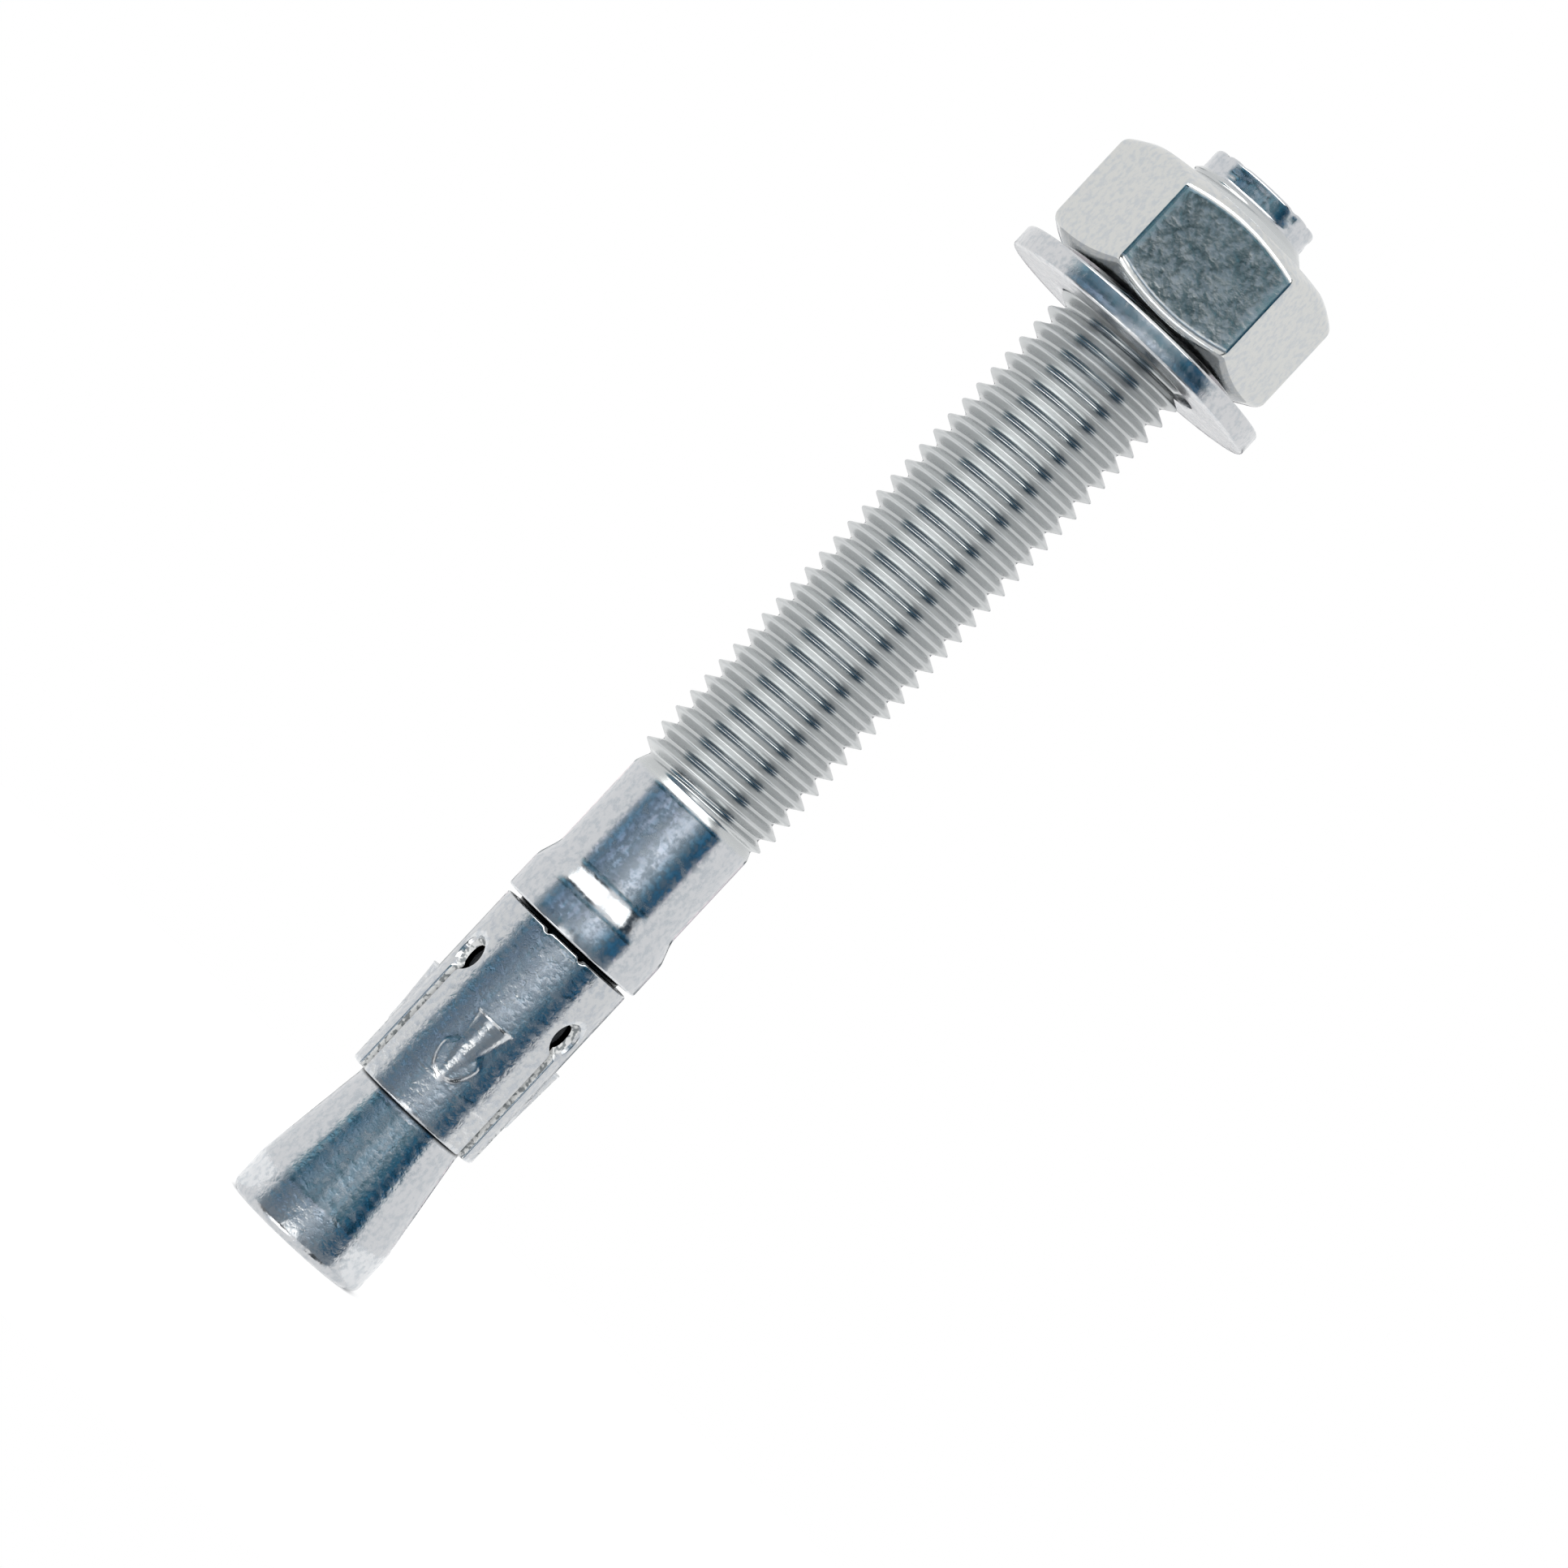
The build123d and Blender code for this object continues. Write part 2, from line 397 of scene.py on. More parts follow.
def stud_tree(turned, thread):
    """Turned bar with a rolled thread, a chamfered thread end and a hammered stub."""
    tree, given, result = new_tree(
        "Threaded stud", Object=("Ring", "Body Profile", "Stub Profile"), Int=THREAD_COUNTS,
        Float=(*THREAD_SIZES, *TAPER, *DENTS, "Shank Radius", "Chamfer", "Run-out",
               "Stub Radius"),
        Material=("Material",),
    )
    ring, *profiles = (
        add(tree, "GeometryNodeObjectInfo", {"Object": given[label]}).outputs["Geometry"]
        for label in ("Ring", "Body Profile", "Stub Profile")
    )
    body, stub = (
        add(tree, "GeometryNodeGroup",
            {"Ring": ring, "Columns": given["Columns"], "Profile": profile}, node_tree=turned)
        for profile in profiles
    )

    def ends(height, radius):
        begin = add(tree, "ShaderNodeMath", {0: given["Start"], 1: given["Chamfer"]},
                    operation="ADD")
        full = add(tree, "ShaderNodeMath", {0: begin, 1: given["Run-out"]}, operation="ADD")
        fade = add(tree, "ShaderNodeMapRange",
                   {"Value": height, "From Min": begin, "From Max": full},
                   interpolation_type="SMOOTHSTEP")
        # the shank's top falls away softly before the thread takes over
        shank = height
        for operation, *others in (
            ("SUBTRACT", "Start"), ("SUBTRACT", "Taper Start"),
            ("MULTIPLY_ADD", "Taper Slope", "Shank Radius"),
            ("SMOOTH_MIN", "Shank Radius", "Taper Rounding"), ("MAXIMUM", "Root Radius"),
        ):
            values = {i: given[label] for i, label in enumerate(others, 1)}
            shank = add(tree, "ShaderNodeMath", {0: shank, **values}, operation=operation)
        radius = add(tree, "ShaderNodeMix", {"Factor": fade, "A": shank, "B": radius})
        chamfer = add(tree, "ShaderNodeMath", {0: given["End"], 1: height}, operation="SUBTRACT")
        chamfer = add(tree, "ShaderNodeMath", {0: given["Stub Radius"], 1: chamfer},
                      operation="ADD")
        return add(tree, "ShaderNodeMath", {0: radius, 1: chamfer}, operation="MINIMUM")

    rolled = resized(tree, thread_part(tree, given, thread, ring), ends)
    # hammer blows: shallow dents in the stub, none at its root
    place = add(tree, "GeometryNodeInputPosition")
    at = add(tree, "ShaderNodeSeparateXYZ", {0: place})
    blows = add(tree, "ShaderNodeTexNoise",
                {"Vector": place, "Scale": given["Dents per mm"], "Detail": 1.5},
                noise_dimensions="3D")
    depth = add(tree, "ShaderNodeMapRange", {"Value": blows, "From Min": 0.45, "From Max": 0.75},
                interpolation_type="SMOOTHSTEP")
    reach = add(tree, "ShaderNodeMath", {0: at.outputs["Z"], 1: given["End"]},
                operation="SUBTRACT")
    reach = add(tree, "ShaderNodeMapRange",
                {"Value": reach, "From Min": given["Dent Free"], "From Max": given["Dent Full"]})
    for share in (reach, given["Dent Depth"], -1.0):
        depth = add(tree, "ShaderNodeMath", {0: depth, 1: share}, operation="MULTIPLY")
    normal = add(tree, "GeometryNodeInputNormal")
    lift = add(tree, "ShaderNodeVectorMath", {0: normal, "Scale": depth}, operation="SCALE")
    stub = add(tree, "GeometryNodeSetPosition", {"Geometry": stub, "Offset": lift})
    joined = add(tree, "GeometryNodeJoinGeometry")
    for part in (body, rolled, stub):
        tree.links.new(part.outputs[0], joined.inputs[0])
    end_tree(tree, given, result, joined)
    return tree


def nut_bore_tree(thread):
    """The nut's internal thread, opened by a chamfer at each face."""
    tree, given, result = new_tree(
        "Nut bore", Object=("Ring",), Int=THREAD_COUNTS, Float=(*THREAD_SIZES, "Mouth Radius"),
        Material=("Material",),
    )
    ring = add(tree, "GeometryNodeObjectInfo", {"Object": given["Ring"]}).outputs["Geometry"]

    def mouths(height, radius):
        below = add(tree, "ShaderNodeMath", {0: height, 1: given["Start"]}, operation="SUBTRACT")
        above = add(tree, "ShaderNodeMath", {0: given["End"], 1: height}, operation="SUBTRACT")
        near = add(tree, "ShaderNodeMath", {0: below, 1: above}, operation="MINIMUM")
        cone = add(tree, "ShaderNodeMath", {0: given["Mouth Radius"], 1: near},
                   operation="SUBTRACT")
        return add(tree, "ShaderNodeMath", {0: radius, 1: cone}, operation="MAXIMUM")

    rolled = thread_part(tree, given, thread, ring)
    end_tree(tree, given, result, resized(tree, rolled, mouths))
    return tree


def grown(name, tree, values):
    """Runs a tree with its inputs set, and keeps the result as a plain mesh."""
    host = mesh_object(name, [])
    run = host.modifiers.new("shape", "NODES")
    run.node_group = tree
    for item in tree.interface.items_tree:
        if item.in_out == "INPUT" and item.name in values:
            run[item.identifier] = values[item.name]
    ready = host.evaluated_get(bpy.context.evaluated_depsgraph_get())
    mesh = bpy.data.meshes.new_from_object(ready)
    host.modifiers.clear()
    host.data = mesh
    return host


def ring_object(name, angles):
    """One point a column, on a circle of radius 1, with the share of a turn it stands at."""
    ring = mesh_object(name, [(cos(a), sin(a), 0) for a in angles])
    turns = ring.data.attributes.new("turn", "FLOAT", "POINT")
    turns.data.foreach_set("value", [a / (2 * pi) for a in angles])
    return ring


def profile_object(name, points):
    """A half section to turn: each point's radius and height."""
    return mesh_object(name, [(r, 0, z) for r, z in points])


# -------- finishes


def linear(code):
    """sRGB hex to the linear colour a shader takes."""
    parts = [int(code[i:i + 2], 16) / 255 for i in (0, 2, 4)]
    return [c / 12.92 if c <= 0.04045 else ((c + 0.055) / 1.055) ** 2.4 for c in parts] + [1.0]


def band(tree, value, rise, fall):
    """1 between two edges, each given by where its soft change starts and ends, 0 outside."""
    inside, past = (
        add(tree, "ShaderNodeMapRange", {"Value": value, "From Min": start, "From Max": end},
            interpolation_type="SMOOTHSTEP")
        for start, end in (rise, fall)
    )
    return add(tree, "ShaderNodeMath", {0: inside, 1: past}, operation="SUBTRACT")


def zinc_plate(name, pale, deep, rough, specks, grain, relief, swell, swell_relief):
    """Bright zinc plate: a faintly blue mirror, broken up by fine grain and broad swells.

    grain and swell are the spacing of the fine and the broad unevenness, and relief and
    swell_relief their heights, all in mm. Real plating has a grain too fine to show, so it is
    drawn coarser. rough gives the roughness of the brightest and of the dullest patches, and
    specks what the grain's spots add to it. Returns what a piece may want to change as well.
    """
    material = bpy.data.materials.new(name)
    material.use_nodes = True
    tree = material.node_tree
    shader = tree.nodes["Principled BSDF"]
    shader.inputs["Metallic"].default_value = 1.0
    place = add(tree, "ShaderNodeTexCoord").outputs["Object"]
    place = add(tree, "ShaderNodeMapping", {"Vector": place, "Scale": (1 / MM, 1 / MM, 1 / MM)})
    fine = add(tree, "ShaderNodeTexNoise",
               {"Vector": place, "Scale": 1 / grain, "Detail": 2.0, "Roughness": 0.55})
    broad = add(tree, "ShaderNodeTexNoise",
                {"Vector": place, "Scale": 1 / swell, "Detail": 2.0, "Roughness": 0.5})
    spots = add(tree, "ShaderNodeMapRange", {"Value": fine, "From Min": 0.4, "From Max": 0.68},
                interpolation_type="SMOOTHSTEP")
    colour = add(tree, "ShaderNodeMix", {"Factor": spots, "A": linear(pale), "B": linear(deep)},
                 data_type="RGBA")
    tree.links.new(live(colour), shader.inputs["Base Color"])
    polish = add(tree, "ShaderNodeMapRange",
                 {"Value": broad, "From Min": 0.3, "From Max": 0.7, "To Min": rough[0],
                  "To Max": rough[1]})
    polish = add(tree, "ShaderNodeMath", {0: spots, 1: specks, 2: polish},
                 operation="MULTIPLY_ADD")
    tree.links.new(live(polish), shader.inputs["Roughness"])
    swells = add(tree, "ShaderNodeBump",
                 {"Height": broad, "Distance": swell_relief * MM, "Strength": 1.0})
    grains = add(tree, "ShaderNodeBump",
                 {"Height": fine, "Distance": relief * MM, "Strength": 1.0, "Normal": swells})
    tree.links.new(grains.outputs["Normal"], shader.inputs["Normal"])
    return material, place, colour, polish, grains


# Turned and rolled steel, bright zinc plated: smooth on the shank, pitted towards the cone
turned_zinc, place, colour, polish, grains = zinc_plate(
    "bright_zinc_on_turned_steel", "CACCCF", "BABFC4", rough=(0.10, 0.16), specks=0.14,
    grain=0.85, relief=0.045, swell=2.4, swell_relief=0.03,
)
tree = turned_zinc.node_tree
shader = tree.nodes["Principled BSDF"]
at = add(tree, "ShaderNodeSeparateXYZ", {0: place})
height = at.outputs["Z"]
grain_left = add(tree, "ShaderNodeMapRange",
                 {"Value": height, "From Min": NECK_START, "From Max": COLLAR_START,
                  "To Min": 1.0, "To Max": 0.15}, interpolation_type="SMOOTHSTEP")
tree.links.new(grain_left.outputs["Result"], grains.inputs["Strength"])
# the rolled thread is satin on its flanks and brighter at its roots
in_thread = band(tree, height, (THREAD_START - 1.1, THREAD_START - 0.5),
                 (THREAD_END - 0.4, THREAD_END))
beside = add(tree, "ShaderNodeMath", {0: at.outputs["X"], 1: -AXIS_X / MM}, operation="ADD")
beside = add(tree, "ShaderNodeCombineXYZ", {"X": beside, "Y": at.outputs["Y"]})
radius = add(tree, "ShaderNodeVectorMath", {0: beside}, operation="LENGTH").outputs["Value"]
satin = add(tree, "ShaderNodeMapRange",
            {"Value": radius, "From Min": ROOT_R + 0.1, "From Max": ROOT_R + 0.5,
             "To Min": 0.15, "To Max": 0.28})
metal = add(tree, "ShaderNodeMapRange",
            {"Value": radius, "From Min": ROOT_R + 0.6, "From Max": ROOT_R + 0.15,
             "To Min": 0.72, "To Max": 1.0}, interpolation_type="SMOOTHSTEP")
for socket, on_bar, on_thread in (("Roughness", polish, satin), ("Metallic", 1.0, metal)):
    mixed = add(tree, "ShaderNodeMix", {"Factor": in_thread, "A": on_bar, "B": on_thread})
    tree.links.new(live(mixed), shader.inputs[socket])
colour = add(tree, "ShaderNodeMix", {"Factor": in_thread, "A": colour, "B": linear("BDC0C1")},
             data_type="RGBA")
# painted shade: the neck under the clip is coloured near black, standing in for the shade that
# falls in the narrow gap between clip and collar
painted_gap_shade = band(tree, height, (CLIP_BOTTOM - 0.7, CLIP_BOTTOM - 0.2),
             (COLLAR_START - 0.02, COLLAR_START + 0.02))
colour = add(tree, "ShaderNodeMix", {"Factor": painted_gap_shade, "A": colour, "B": linear("0C1216")},
             data_type="RGBA")
tree.links.new(live(colour), shader.inputs["Base Color"])

# Cold-rolled strip, pressed and zinc plated: a livelier mottle than the turned bar, with
# pale matt sheared edges
strip_zinc, place, colour, polish, _ = zinc_plate(
    "bright_zinc_on_pressed_strip", "C8CACC", "B7BCC2", rough=(0.11, 0.17), specks=0.14,
    grain=0.85, relief=0.045, swell=2.2, swell_relief=0.06,
)
tree = strip_zinc.node_tree
shader = tree.nodes["Principled BSDF"]
sheared = add(tree, "ShaderNodeAttribute", attribute_name="sheared").outputs["Fac"]
torn = add(tree, "ShaderNodeTexNoise", {"Vector": place, "Scale": 1.5, "Detail": 1.0})
torn = add(tree, "ShaderNodeMapRange", {"Value": torn, "From Min": 0.48, "From Max": 0.6},
           interpolation_type="SMOOTHSTEP")
torn = add(tree, "ShaderNodeMix", {"Factor": torn, "A": linear("E6E7E7"), "B": linear("8E9396")},
           data_type="RGBA")
for socket, kind, plated, bare in (("Roughness", "FLOAT", polish, 0.7),
                                   ("Metallic", "FLOAT", 1.0, 0.3),
                                   ("Base Color", "RGBA", colour, torn)):
    mixed = add(tree, "ShaderNodeMix", {"Factor": sheared, "A": plated, "B": bare}, data_type=kind)
    tree.links.new(live(mixed), shader.inputs[socket])

# Punched washer, zinc plated: slightly duller
washer_zinc, *_ = zinc_plate(
    "bright_zinc_on_punched_steel", "CDCED0", "BEC2C6", rough=(0.12, 0.2), specks=0.1,
    grain=0.8, relief=0.02, swell=2.6, swell_relief=0.03,
)
# Cold-forged nut, zinc plated: flats with an orange-peel grain
nut_zinc, *_ = zinc_plate(
    "bright_zinc_on_forged_steel", "CFD0CE", "C2C6C9", rough=(0.08, 0.13), specks=0.06,
    grain=0.8, relief=0.008, swell=2.2, swell_relief=0.025,
)


# -------- stud

turned = turned_tree()
thread = thread_tree()

body_points = rounded(
    [(0, 0), (CONE_END_R, 0), (CONE_END_R, CONE_LAND), (NECK_R, NECK_START),
     (NECK_R, COLLAR_START), (COLLAR_R, COLLAR_START), (COLLAR_R, COLLAR_END),
     (SHANK_R, SHANK_START), (SHANK_R, THREAD_START - RUNOUT_BELOW - 0.1),
     (SHANK_R, THREAD_START - RUNOUT_BELOW)],
    [0, CONE_EDGE, LAND_BLEND, NECK_BLEND, NECK_CORNER, COLLAR_EDGE, COLLAR_BLEND,
     COLLAR_BLEND, 0],
)
stub_points = rounded([(STUB_R, THREAD_END), (STUB_R, STUD_TOP), (0, STUD_TOP)], [0, STUB_EDGE])
even_ring = ring_object(
    "even_ring", [2 * pi * (i / STUD_COLUMNS - 0.5) for i in range(STUD_COLUMNS + 1)]
)
body_profile = profile_object("body_profile", divided(body_points, LONG_STEP))
stub_profile = profile_object("stub_profile", divided(stub_points, SHORT_STEP))
thread_values = {
    **FORM, "Ring": even_ring, "Columns": STUD_COLUMNS, "Turns": 42, "Rows per Turn": 18,
    "Pitch": PITCH, "Crest Radius": CREST_R, "Root Radius": ROOT_R, "Crest Height": CREST_HEIGHT,
    "Start": THREAD_START - RUNOUT_BELOW, "End": THREAD_END,
}
stud = grown(
    "threaded_stud", stud_tree(turned, thread),
    {**thread_values, **TAPER, **DENTS, "Body Profile": body_profile,
     "Stub Profile": stub_profile, "Shank Radius": SHANK_R, "Chamfer": SHANK_CHAMFER,
     "Run-out": RUNOUT, "Stub Radius": STUB_R, "Material": turned_zinc},
)
finished(stud, turned_zinc, sharp=50)


# -------- nut


def on_corner(number, swing):
    """A point on one of the nut's rounded corners, swing degrees from the corner's middle."""
    corner = radians(60 * number + NUT_TURN)
    reach = (NUT_FLAT - NUT_CORNER) / cos(radians(30))
    swing = corner + radians(swing)
    return np.array((reach * cos(corner) + NUT_CORNER * cos(swing),
                     reach * sin(corner) + NUT_CORNER * sin(swing)))


# the outline: six corners, each with the flat after it, which has points along it too
outline = []
for number in range(-3, 3):
    outline += [on_corner(number, -30 + 60 * step / NUT_CORNER_STEPS)
                for step in range(NUT_CORNER_STEPS + 1)]
    start, ahead = outline[-1], on_corner(number + 1, -30)
    outline += [start + (ahead - start) * i / NUT_FLAT_STEPS for i in range(1, NUT_FLAT_STEPS)]
outline = np.array(outline)
angles = np.unwrap(np.arctan2(outline[:, 1], outline[:, 0]))
slope = tan(radians(NUT_FACE_ANGLE))
shell = []
for angle, radius in zip(angles, np.hypot(outline[:, 0], outline[:, 1])):
    foot, head = NUT_FACE_R
    line = rounded(
        [(NUT_MOUTH_R, NUT_BOTTOM), (foot, NUT_BOTTOM),
         (radius, NUT_BOTTOM + (radius - foot) * slope),
         (radius, NUT_TOP - (radius - head) * slope), (head, NUT_TOP), (NUT_MOUTH_R, NUT_TOP)],
        [0, NUT_FACE_EDGE, NUT_EDGE, NUT_EDGE, NUT_FACE_EDGE], steps=5,
    )
    # rows close to the edges keep the flats flat
    half = len(line) // 2
    (foot_r, foot_z), (head_r, head_z) = line[half - 1], line[half]
    line[half:half] = [(foot_r, foot_z + rise) for rise in (0.25, 2.0)] + [
        (head_r, head_z - fall) for fall in (2.0, 0.25)]
    shell.append([(r * cos(angle), r * sin(angle), z) for r, z in line])
shell = np.array(shell)
around, rows = shell.shape[:2]
nut = mesh_object("hexagon_nut", to_place(shell.reshape(-1, 3)), quads(around, rows))
nut_ring = ring_object("nut_ring", list(angles) + [angles[0] + 2 * pi])
# its thread goes on from the stud's, fifteen turns up
bore = grown(
    "nut_bore", nut_bore_tree(thread),
    {**thread_values, "Ring": nut_ring, "Columns": around, "Turns": 10,
     "Crest Radius": CREST_R + NUT_THREAD_PLAY, "Root Radius": ROOT_R + NUT_THREAD_PLAY,
     "Crest Height": CREST_HEIGHT + PITCH * 15, "Start": NUT_BOTTOM, "End": NUT_TOP,
     "Mouth Radius": NUT_MOUTH_R, "Material": nut_zinc},
)
joint = bmesh.new()
joint.from_mesh(nut.data)
joint.from_mesh(bore.data)
joint.to_mesh(nut.data)
joint.free()
finished(nut, nut_zinc, sharp=50)


# -------- washer

washer_thick = WASHER_TOP - WASHER_BOTTOM
washer_profile = rounded(
    [(WASHER_BORE_R, washer_thick / 2), (WASHER_BORE_R, 0), (WASHER_R, 0),
     (WASHER_R, washer_thick), (WASHER_BORE_R, washer_thick), (WASHER_BORE_R, washer_thick / 2)],
    [0, WASHER_BORE_EDGE, WASHER_EDGE, WASHER_EDGE, WASHER_BORE_EDGE], steps=4,
)
loop = divided(washer_profile, LONG_STEP)[:-1]
points = [
    (r * cos(a) + WASHER_SIDE_PLAY, r * sin(a), WASHER_BOTTOM + z)
    for a in (2 * pi * i / WASHER_COLUMNS for i in range(WASHER_COLUMNS)) for r, z in loop
]
washer_faces = quads(WASHER_COLUMNS, len(loop), ring=True)
washer = mesh_object("flat_washer", to_place(points), washer_faces)
finished(washer, washer_zinc)


# -------- clip

half_strip = pi * CLIP_R - SEAM_GAP / 2
slot_x = radians(PETAL_ANGLE) * CLIP_R
relief_y = CLIP_TOP - RELIEF_DOWN
# the strip's outline, laid flat, as corners with their radii
edge = [((-half_strip, CLIP_BOTTOM), STRIP_CORNER)]
for middle in (-slot_x, slot_x):
    edge += [((middle - SLOT_WIDTH / 2, CLIP_BOTTOM), SLOT_CORNER)]
    first = asin(SLOT_WIDTH / 2 / RELIEF_R)
    for step in range(HOLE_STEPS + 1):
        swing = -pi / 2 - first - (2 * pi - 2 * first) * step / HOLE_STEPS
        edge += [((middle + RELIEF_R * cos(swing), relief_y + RELIEF_R * sin(swing)), 0)]
    edge += [((middle + SLOT_WIDTH / 2, CLIP_BOTTOM), SLOT_CORNER)]
edge += [((half_strip, CLIP_BOTTOM), STRIP_CORNER), ((half_strip, CLIP_TOP), STRIP_CORNER)]
for middle in (radians(NOTCH_ANGLE) * CLIP_R, -radians(NOTCH_ANGLE) * CLIP_R):
    first = asin(NOTCH_UP / NOTCH_R)
    for step in range(NOTCH_STEPS + 1):
        swing = -first - (pi - 2 * first) * step / NOTCH_STEPS
        edge += [((middle + NOTCH_R * cos(swing), CLIP_TOP + NOTCH_UP + NOTCH_R * sin(swing)), 0)]
edge += [((-half_strip, CLIP_TOP), STRIP_CORNER)]
corners = [edge[-1][0]] + [p for p, _ in edge] + [edge[0][0]]
border = rounded(corners, [0] + [r for _, r in edge], steps=4)[1:-1]
border = np.array(divided(border + [border[0]], SHORT_STEP)[:-1])


def inside(points):
    """Which points lie within the strip's outline."""
    x, y = points[:, 0:1], points[:, 1:2]
    ax, ay = border[:, 0], border[:, 1]
    bx, by = np.roll(ax, -1), np.roll(ay, -1)
    crosses = ((ay > y) != (by > y)) & (x < (bx - ax) * (y - ay) / (by - ay + 1e-12) + ax)
    return crosses.sum(1) % 2 == 1


def from_edge(points):
    """Distance of each point to the strip's outline."""
    a, b = border, np.roll(border, -1, 0)
    run = b - a
    long = (run ** 2).sum(1)
    out = np.empty(len(points))
    for first in range(0, len(points), 2000):
        p = points[first:first + 2000, None, :]
        t = np.clip(((p - a) * run).sum(2) / long, 0, 1)
        out[first:first + 2000] = np.sqrt(((a + t[..., None] * run - p) ** 2).sum(2)).min(1)
    return out


# points inside it: a staggered grid, finer over the scales, and rims that follow the outline
grid_x, grid_y = np.meshgrid(
    np.arange(-half_strip, half_strip, STRIP_GRID), np.arange(CLIP_BOTTOM, CLIP_TOP, STRIP_GRID)
)
grid_x[1::2] += STRIP_GRID / 2
field = [np.c_[grid_x.ravel(), grid_y.ravel()]]
scale_rows = SCALE_TOP + np.array((-0.34, -0.22, -0.12, -0.04, 0.03, 0.12))
for angle in SCALE_ANGLES:
    middle = radians(angle) * CLIP_R
    even_rows = np.arange(SCALE_TOP - SCALE_LENGTH - 0.6, SCALE_TOP - 0.4, SCALE_GRID[1])
    fx, fy = np.meshgrid(np.arange(-3.5, 3.51, SCALE_GRID[0]), np.r_[even_rows, scale_rows])
    field.append(np.c_[fx.ravel() + middle, fy.ravel()])
    near = (abs(field[0][:, 0] - middle) < 3.6) & (
        field[0][:, 1] > SCALE_TOP - SCALE_LENGTH - 0.7) & (field[0][:, 1] < SCALE_TOP + 0.25)
    field[0] = field[0][~near]
field = np.concatenate(field)
field = field[inside(field)]
field = field[from_edge(field) > 0.4]
rims = []
onward = np.roll(border, -1, 0) - np.roll(border, 1, 0)
onward /= np.linalg.norm(onward, axis=1)[:, None]
inward = np.c_[-onward[:, 1], onward[:, 0]]
for depth in (0.06, 0.14, 0.25):
    rim = border + inward * depth
    rim = rim[inside(rim)]
    rims.append(rim[from_edge(rim) > depth * 0.93])
flat = np.concatenate([border, *rims, field])
loop = list(range(len(border)))
verts, _, faces, *_ = delaunay_2d_cdt([Vector(p) for p in flat], [], [loop], 1, 1e-4)
flat = np.array([tuple(v) for v in verts])
gap = from_edge(flat)


def press(points):
    """Height of the bite scales over the strip: from a round tongue, a ridge curves up to a
    square step. The punch stood a little askew."""
    height = np.zeros(len(points))
    y = points[:, 1]
    t = np.clip((y - SCALE_TOP + SCALE_LENGTH) / SCALE_LENGTH, 0, 1)
    for angle in SCALE_ANGLES:
        x = points[:, 0] - radians(angle) * CLIP_R - SCALE_LEAN * (t - 0.5)
        half = SCALE_HALF_WIDTH * np.sqrt(
            np.clip(1 - ((TONGUE_END - t).clip(0) / TONGUE_END) ** 2, 1e-6, 1))
        # the tongue's edge is crisp round its foot and fades out beside the ridge
        softness = 0.65 + 2.2 * np.clip((t - 0.4) / 0.2, 0, 1)
        edge = np.clip((half - abs(x)) * np.clip(t / 0.1, 0.4, 1) / softness, 0, 1)
        tongue = TONGUE_HEIGHT * edge ** 2 * (3 - 2 * edge)
        crest = (SCALE_HEIGHT - TONGUE_HEIGHT) * (1 - RIDGE_BOW + RIDGE_BOW * t) * t
        wide = RIDGE_HALF_WIDTH * (RIDGE_FOOT + (1 - RIDGE_FOOT) * t)
        ridge = crest * (1 - (abs(x) / wide) ** 2.5)
        ridge = np.where(ridge > RIDGE_SOFT, ridge, np.where(
            ridge < -RIDGE_SOFT, 0, (ridge + RIDGE_SOFT) ** 2 / (4 * RIDGE_SOFT)))
        # the punch leaves a burr along the step
        burr = BURR_HEIGHT * np.exp(-((SCALE_TOP - BURR_WIDTH - y) / BURR_WIDTH) ** 2)
        burr *= abs(x) < BURR_HALF_LENGTH
        on = (y <= SCALE_TOP) & (y >= SCALE_TOP - SCALE_LENGTH)
        height += np.where(on, tongue + ridge + burr, 0)
    return height


def eased(distance, width, drop):
    """How far an edge has rolled over at a distance from it."""
    return drop * (1 - np.sqrt(1 - (1 - np.clip(distance / width, 0, 1)) ** 2))


hole_gap = np.full(len(flat), 9.0)
for middle in (-slot_x, slot_x):
    away = np.hypot(flat[:, 0] - middle, flat[:, 1] - relief_y) - RELIEF_R
    hole_gap = np.minimum(hole_gap, away)
outer = CLIP_R + press(flat) - eased(gap, *OUTER_EDGE) - eased(hole_gap, *HOLE_EDGE)
inner = CLIP_BORE_R + eased(gap, *INNER_EDGE)
# the relief holes are punched from outside and narrow inwards
narrow = flat.copy()
for middle in (-slot_x, slot_x):
    to_middle = np.array((middle, relief_y)) - flat
    rim = abs(np.hypot(to_middle[:, 0], to_middle[:, 1]) - RELIEF_R) < 0.02
    narrow[rim] += to_middle[rim] * HOLE_TAPER / RELIEF_R


def rolled(radius, strip):
    """Rolls the strip round the axis, each point at its own radius."""
    bend = strip[:, 0] / CLIP_R
    return np.c_[radius * np.sin(bend), -radius * np.cos(bend), strip[:, 1]]


# outer wall, inner wall, and the sheared edge between them
count = len(flat)
used = dict.fromkeys((a, b) for face in faces for a, b in zip(face, face[1:] + face[:1]))
rim_edges = [(a, b) for a, b in used if (b, a) not in used]
clip_faces = [tuple(f) for f in faces]
clip_faces += [tuple(count + i for i in reversed(f)) for f in faces]
clip_faces += [(b, a, count + a, count + b) for a, b in rim_edges]
walls = np.r_[rolled(outer, flat), rolled(inner, narrow)]
clip = mesh_object("expansion_clip", to_place(walls), clip_faces)
sheared = clip.data.attributes.new("sheared", "FLOAT", "FACE")
sheared.data.foreach_set(
    "value", [0.0] * (len(clip_faces) - len(rim_edges)) + [1.0] * len(rim_edges))
finished(clip, strip_zinc, sharp=38)


# -------- pieces to bodies

for piece, body in ((stud, "stud"), (clip, "clip"), (washer, "washer"), (nut, "nut")):
    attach(piece, body)
    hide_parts(body)
for spare in (even_ring, body_profile, stub_profile, nut_ring, bore):
    bpy.data.objects.remove(spare)


